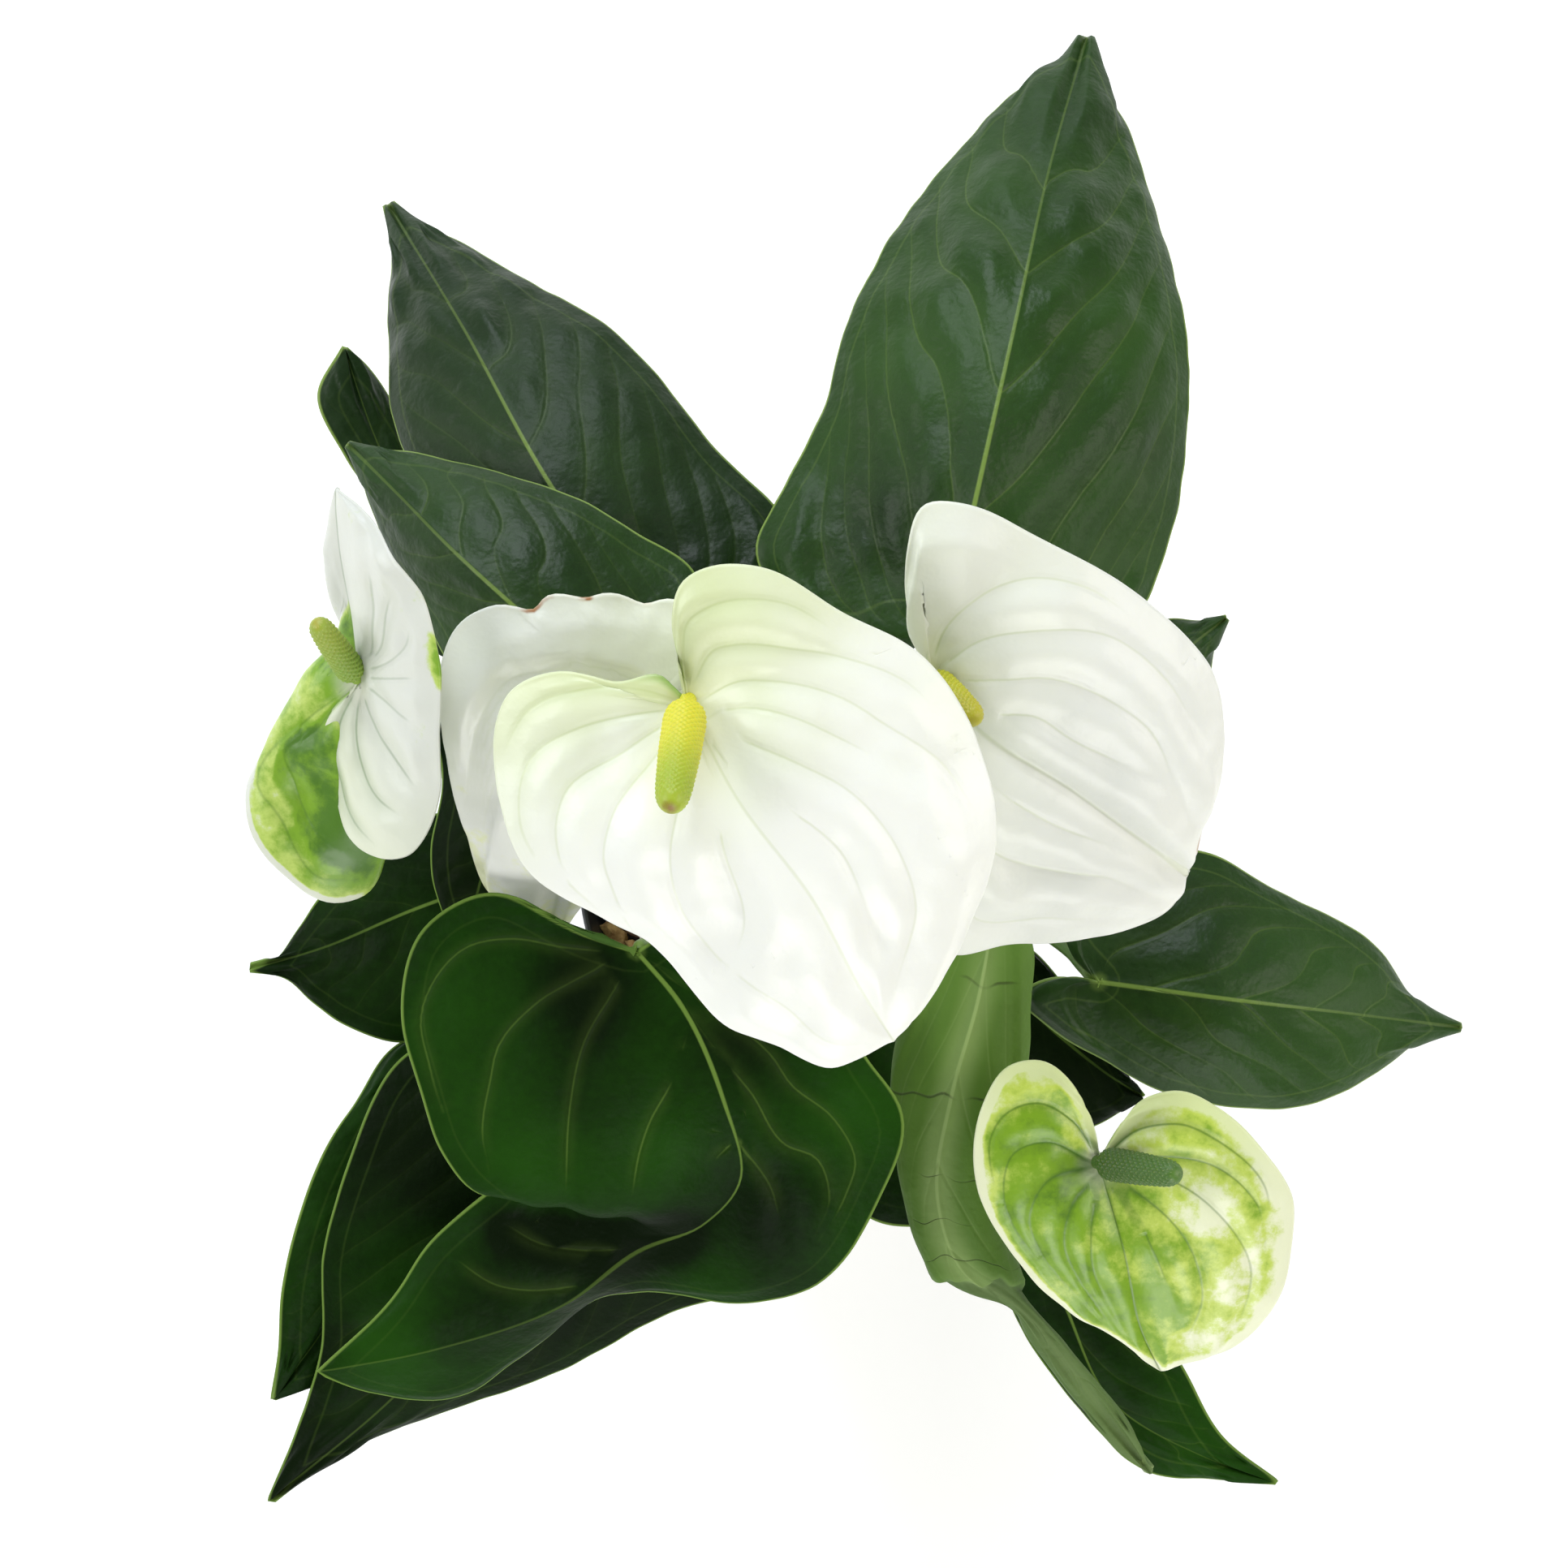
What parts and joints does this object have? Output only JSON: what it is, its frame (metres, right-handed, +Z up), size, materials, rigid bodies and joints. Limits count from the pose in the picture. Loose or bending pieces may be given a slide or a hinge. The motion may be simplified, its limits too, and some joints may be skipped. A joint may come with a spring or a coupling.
{
  "type": "potted flamingo flower",
  "caption": "White-flowered pot plant: heart-shaped glossy leaves and waxy spathes with upright spikes, each on its own stalk, growing from bark soil in a plain nursery pot.",
  "frame": {"origin": "centre of the pot's flat underside, on the floor", "axes": "+Z up, +X to the right and +Y away from the viewer, as the plant stands in the picture, which looks almost straight down"},
  "size_m": [0.3003, 0.3634, 0.3822],
  "materials": {
    "pot_plastic": "thin black polypropylene, fine matte grain",
    "soil_bark": "moist peat with bark chips, rough",
    "leaf_green": "thick dark green leaf, waxy satin gloss",
    "young_leaf": "young pale green leaf, soft satin",
    "leaf_stalk": "smooth green stalk, satin",
    "flower_stalk": "smooth light green stalk, satin",
    "white_spathe": "waxy white bract with a cream-green tint, soft gloss",
    "green_spathe": "waxy cream bract mottled lime green, soft gloss",
    "yellow_spadix": "yellow flower spike of tiny florets, matte",
    "green_spadix": "green flower spike of tiny florets, matte"
  },
  "bodies": {
    "root": {"pot": "pot_plastic", "soil": "soil_bark", "leaf_01_blade": "leaf_green", "leaf_01_stalk": "leaf_stalk", "leaf_02_blade": "leaf_green", "leaf_02_stalk": "leaf_stalk", "leaf_03_blade": "leaf_green", "leaf_03_stalk": "leaf_stalk", "leaf_04_blade": "leaf_green", "leaf_04_stalk": "leaf_stalk", "leaf_05_blade": "leaf_green", "leaf_05_stalk": "leaf_stalk", "leaf_06_blade": "leaf_green", "leaf_06_stalk": "leaf_stalk", "leaf_07_blade": "leaf_green", "leaf_07_stalk": "leaf_stalk", "leaf_08_blade": "leaf_green", "leaf_08_stalk": "leaf_stalk", "leaf_09_blade": "leaf_green", "leaf_09_stalk": "leaf_stalk", "leaf_10_blade": "leaf_green", "leaf_10_stalk": "leaf_stalk", "leaf_11_blade": "young_leaf", "leaf_11_stalk": "leaf_stalk", "leaf_12_blade": "leaf_green", "leaf_12_stalk": "leaf_stalk", "leaf_13_blade": "leaf_green", "leaf_13_stalk": "leaf_stalk", "leaf_14_blade": "leaf_green", "leaf_14_stalk": "leaf_stalk", "leaf_15_blade": "leaf_green", "leaf_15_stalk": "leaf_stalk", "flower_1_spathe": "white_spathe", "flower_1_stalk": "flower_stalk", "flower_1_spadix": "yellow_spadix", "flower_2_spathe": "white_spathe", "flower_2_stalk": "flower_stalk", "flower_2_spadix": "yellow_spadix", "flower_3_spathe": "white_spathe", "flower_3_stalk": "flower_stalk", "flower_3_spadix": "yellow_spadix", "flower_4_spathe": "green_spathe", "flower_4_stalk": "flower_stalk", "flower_4_spadix": "green_spadix", "flower_5_spathe": "white_spathe", "flower_5_stalk": "flower_stalk", "flower_5_spadix": "green_spadix"}
  },
  "joints": []
}
